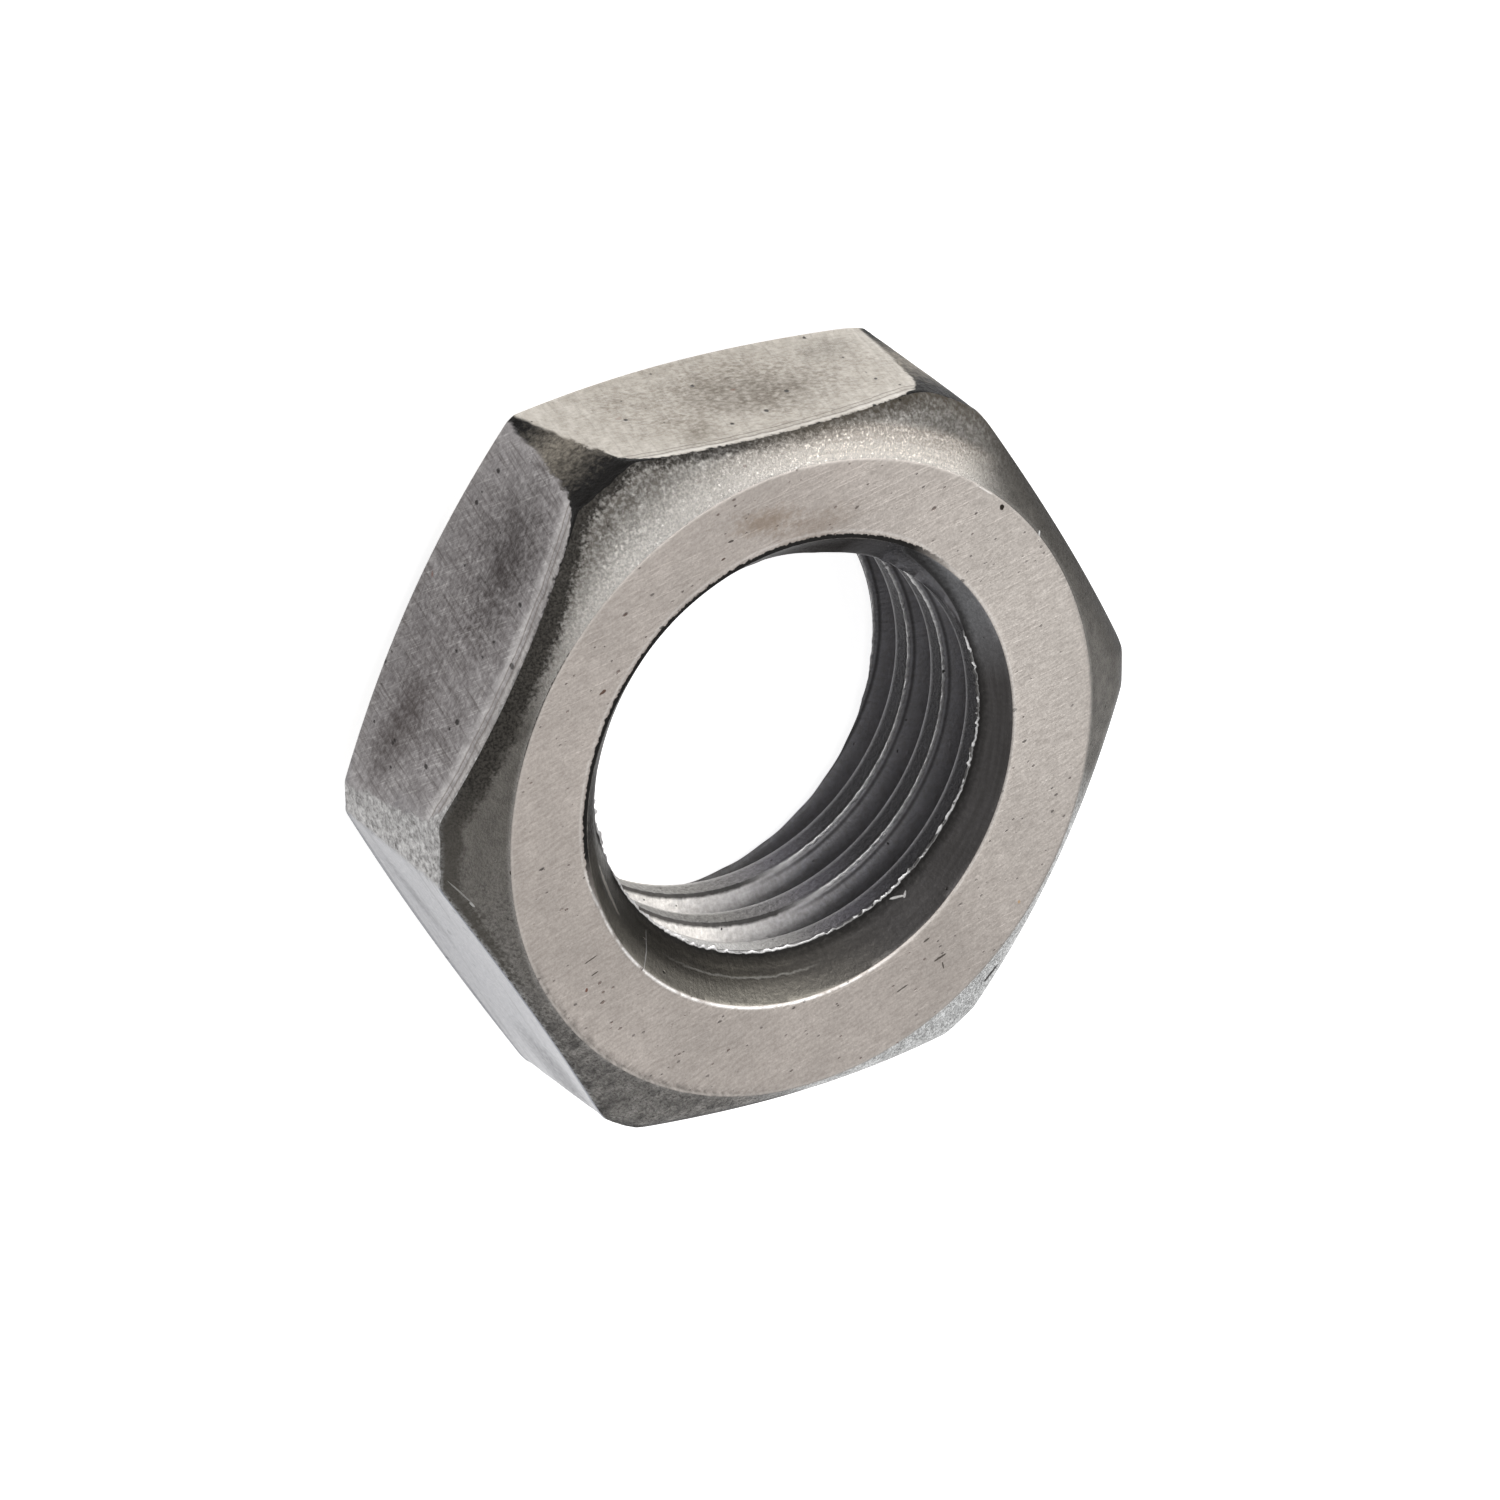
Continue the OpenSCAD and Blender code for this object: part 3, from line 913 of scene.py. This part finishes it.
colour = layered(
    blend(flat_tone_with_painted_light, stain_tone_with_painted_light, (stained * (fine_stain * 0.4 + 0.3) + stain_grain).at_most(1)),
    ((0.74, 0.72, 0.69), (rolling * 0.15 + handled * 0.26) * (1 - calm * 0.6)),
    ((0.07, 0.06, 0.055), slanting * (1 - calm * 0.8) * (on_left * 0.45 + 0.16)),
    (stain_tone_with_painted_light, drawn_stain * (1 - calm * 0.5) * (on_left * 0.15 + 0.35)),
    (stain_tone_with_painted_light, on_left * fine_stain * 0.15),
    *flat_stains,
    ((0.035, 0.03, 0.027), bar_pits * (1 - calm * 0.7) * 0.85),
    ((0.16, 0.07, 0.045), rust_pits * (1 - calm) * 0.8),
    ((0.78, 0.75, 0.70), lip_highlight * (0.45 + finer_stain * 0.25) * (1 - calm * 0.6)),
    ((0.62, 0.60, 0.585), inner_highlight_band * (0.3 + finer_stain * 0.2)),
    ((0.12, 0.10, 0.085), second_line * (1 - bevel) * (1 - calm) * 0.75),
    ((0.24, 0.24, 0.25), streaks * calm * (stain * 0.6 + 0.4)),
    ((0.12, 0.13, 0.16), blued_edge * 0.75),
    (blend(brown_skin, pale_skin, is_pale), bevel),
)
roughness = 0.36 + fine_stain * 0.08 + bevel * 0.12 - lip_highlight * 0.06
dirt_and_shade = stain_film.at_least(bar_pits * (1 - calm * 0.7)).at_least(skin_dirt)
steel(tree, colour, roughness, dirt_and_shade,
      rolling * 0.06 + slanting * 0.08 + fine_stain * 0.25 * (1 - calm * 0.7) - bar_pits * 0.8
      + bevel * skin_grain * 0.9, 0.045)

# Tapped bore: painted shade darkens it towards +y, where dark patches of cutting oil lie too; the burrs
# on the front edges of the thread carry painted highlights on that side and painted shadow lines on the
# other
tree, place, across, deep, up, towards = open_material("tapped bore")
burr = mark(tree, "burr")
land = mark(tree, "land")
band = mark(tree, "band")
ragged = clouds(place, 5.0, 4.0, 3.0)
# Painted shade: the bore's colour darkens towards +y, and the oil patches lie only on that side; the cut
# metal and the band stay lighter on the other side, which is painted light.
painted_shade_side = (deep + (ragged - 0.5) * 2).share(-2.0, 4.0)
# Painted shade: the bore's wall on the side towards 218 degrees is painted near black, lighter only at
# the very mouth, and its metal is dulled.
painted_near_shade = towards(218, 0.4, 0.6)
tear = apply("patches", place, Length=0.16, Width=0.16, Softness=0.3, Seed=2.0)
azimuth = deep.worked("ARCTAN2", across)
chatter = clouds(point_at(azimuth * 42, up * 0.8, azimuth * 0), 1.0, 2.0, 4.0).share(0.35, 0.65)
cut_metal = blend((0.88, 0.845, 0.80), (0.27, 0.27, 0.29), painted_shade_side.root())
oil_film = apply("patches", place, Length=1.6, Width=0.6, Softness=0.5, Seed=7.0)
band_tone = blend((0.20, 0.185, 0.155), (0.15, 0.142, 0.138), painted_shade_side)
turned_rings = clouds(point_at(azimuth * 4, band * 9, up * 0), 1.0, 3.0, 8.0).share(0.35, 0.65)
band_tone = blend(band_tone, (0.06, 0.055, 0.05), turned_rings * 0.4)
band_tone = blend(band_tone, (0.46, 0.43, 0.37), (1 - painted_shade_side) * band.share(0.5, 0.95) * 0.75)
band_tone = blend(band_tone, (0.29, 0.29, 0.295), towards(140, 0.75, 0.95))
band_tone = blend(band_tone, (0.05, 0.047, 0.043), chatter * 0.10 + tear * 0.25)
# Painted highlight: a light ragged line across the band where it has a step that the form leaves out.
step_highlight = (band + (ragged - 0.5) * 0.1).near(0.5, 0.035) * towards(-18, 0.9, 0.97)
band_tone = blend(band_tone, (0.62, 0.60, 0.55), step_highlight * 0.6)
ragged_band = band + (ragged - 0.5) * 0.2
# Painted shadow: a near-black strip in the band right beside the lip, where the metal is dulled as well.
shadow_under_lip = band.share(0.0, 0.03) * (1 - ragged_band.share(0.08, 0.3))
at_mouth = (up + (ragged - 0.5) * 0.12).share(8.92, 8.97)
painted_near_shade_tone = blend((0.018, 0.016, 0.014), (0.34, 0.32, 0.29), at_mouth)
# The lands darken towards +y, which is painted shade and dulled there, and near the top on the -y side
# they carry a near-white painted highlight.
land_tone = blend((0.40, 0.385, 0.36), (0.22, 0.21, 0.24), deep.share(-1.0, 3.0))
land_tone = blend(land_tone, (0.07, 0.069, 0.075), deep.share(2.0, 5.0))
land_highlight = (1 - deep.share(-2.0, 1.5)) * up.share(5.8, 6.0)
land_tone = blend(land_tone, (0.98, 0.96, 0.93), land_highlight)
is_lip = band.share(0.0, 0.01).at_least(up.share(6.7, 6.9) * (1 - deep.share(0, 1)))
# The ragged lines along the thread's front edges are painted: near-white highlights towards +y and on
# the lip, near-black dulled shadow lines on the other side, and black shadow gaps that break the lip's
# highlight.
edge_highlight_side = deep.share(1.0, 4.0).at_least(is_lip)
edge_highlight_shadow_line = (burr + (ragged - 0.5) * 0.3 - edge_highlight_side * (1 - is_lip) * 0.22).share(0.5, 0.75)
lip_shadow_gaps = edge_highlight_shadow_line * (1 - clouds(place, 2.4, 2.0, 12.0).share(0.46, 0.51))
lip_shadow_gaps = lip_shadow_gaps * up.share(6.3, 6.6) * deep.share(1.0, 3.0)
shadow_line = burr.share(0.15, 0.35) * (1 - burr.share(0.45, 0.6)) * edge_highlight_side
specks = apply("pits", place, Direction=0.0, Spacing=0.5, Stretch=1.2, Size=0.15)
colour = layered(
    blend(cut_metal, (0.12, 0.118, 0.12), painted_shade_side * 0.6 * oil_film),
    ((0.22, 0.21, 0.195), (1 - chatter) * 0.10),
    ((0.14, 0.12, 0.10), tear * 0.34),
    (band_tone, band.share(0.0, 0.02)),
    ((0.015, 0.014, 0.013), shadow_under_lip * 0.85),
    (painted_near_shade_tone, painted_near_shade * 0.95),
    (land_tone, land),
    ((0.05, 0.045, 0.042), land * tear * 0.4 * (1 - land_highlight * 0.7)),
    ((0.84, 0.83, 0.82), edge_highlight_shadow_line * edge_highlight_side * 0.85),
    ((0.03, 0.027, 0.024), edge_highlight_shadow_line * (1 - edge_highlight_side) * 0.85),
    ((0.03, 0.027, 0.024), lip_shadow_gaps * 0.9),
    ((0.02, 0.018, 0.017), shadow_line * 0.6),
    *spots(place, (((5.7, -6.6), 1.5, 0.07, -0.85, (0.75, 0.73, 0.70), 0.85),), 0.7, 4.0),
    *spots(place, (
        ((2.86, -7.9), 2.6, 0.20, 0.353, (0.62, 0.58, 0.52), 1.0),
        ((6.72, 4.50), 0.6, 0.08, 1.75, (0.80, 0.78, 0.75), 1.0),
        ((6.62, 4.82), 0.3, 0.07, 2.6, (0.80, 0.78, 0.75), 1.0),
    ), 0.6, 4.0, up.share(7.5, 7.7)),
    ((0.02, 0.018, 0.016), specks * 0.8),
)
roughness = 0.38 + tear * 0.1 * land - edge_highlight_shadow_line * 0.1
dirt_and_shade = (painted_near_shade * 0.95).at_least(edge_highlight_shadow_line * (1 - edge_highlight_side) * 0.9).at_least(shadow_line * 0.7)
dirt_and_shade = dirt_and_shade.at_least(land * deep.share(2.0, 5.0) * 0.6).at_least(lip_shadow_gaps * 0.9)
dirt_and_shade = dirt_and_shade.at_least(band.share(0.0, 0.03) * (1 - ragged_band.share(0.05, 0.22)) * 0.8)
steel(tree, colour, roughness, dirt_and_shade, tear * (land * 0.8 + 0.15) + chatter * 0.12
      + edge_highlight_shadow_line * edge_highlight_side * 0.5 - specks * 0.6, 0.05)

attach(nut, "root")
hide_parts("jam_nut")


# Floor: a sheet of matt white paper that runs far past the picture. To the camera and to
# the steel it looks lit to white, and it keeps the nut's soft shadow.
floor_mesh = bpy.data.meshes.new("paper_floor")
floor_half = 0.9
floor_mesh.from_pydata(
    [(-floor_half, -floor_half, 0), (floor_half, -floor_half, 0),
     (floor_half, floor_half, 0), (-floor_half, floor_half, 0)], [], [(0, 1, 2, 3)])
floor = bpy.data.objects.new("paper_floor", floor_mesh)
scene_objects.link(floor)
paper = bpy.data.materials.new("white paper")
paper.use_nodes = True
paper_shader = paper.node_tree.nodes["Principled BSDF"]
paper_shader.inputs["Base Color"].default_value = (0.9, 0.9, 0.9, 1)
paper_shader.inputs["Roughness"].default_value = 0.9
paper_shader.inputs["Specular IOR Level"].default_value = 0
ray = paper.node_tree.nodes.new("ShaderNodeLightPath")
seen = (Amount(ray.outputs["Is Camera Ray"]) + Amount(ray.outputs["Is Glossy Ray"])
        + Amount(ray.outputs["Is Transmission Ray"])).at_most(1) * 0.8
paper.node_tree.links.new(seen.socket, paper_shader.inputs["Emission Strength"])
paper_shader.inputs["Emission Color"].default_value = (1, 1, 1, 1)
floor_mesh.materials.append(paper)


# Studio light: a grey room, a key lamp high beside the nut, a weaker fill lamp round from it
# and a smaller lamp nearly overhead. All three are square soft boxes.
room = bpy.data.worlds.new("grey room")
room.use_nodes = True
room.node_tree.nodes["Background"].inputs["Color"].default_value = (0.42, 0.42, 0.43, 1)
bpy.context.scene.world = room


def soft_lamp(name, azimuth, elevation, distance, width, brightness):
    """A square soft box aimed at the nut. Its brightness is what a mirror would show of it."""
    lamp_data = bpy.data.lights.new(name, "AREA")
    lamp_data.shape = "SQUARE"
    lamp_data.size = width
    lamp_data.energy = brightness * math.pi * width * width
    lamp = bpy.data.objects.new(name, lamp_data)
    turn, rise = math.radians(azimuth), math.radians(elevation)
    away = Vector((math.cos(turn) * math.cos(rise), math.sin(turn) * math.cos(rise), math.sin(rise)))
    lamp.location = away * distance
    lamp.rotation_euler = away.to_track_quat("Z", "Y").to_euler()
    scene_objects.link(lamp)


soft_lamp("key lamp", 112, 58, 0.40, 0.34, 1.75)
soft_lamp("fill lamp", 20, 45, 0.55, 0.40, 0.8)
soft_lamp("top lamp", 185, 76, 0.50, 0.22, 1.3)

bpy.context.scene.view_settings.view_transform = "Standard"
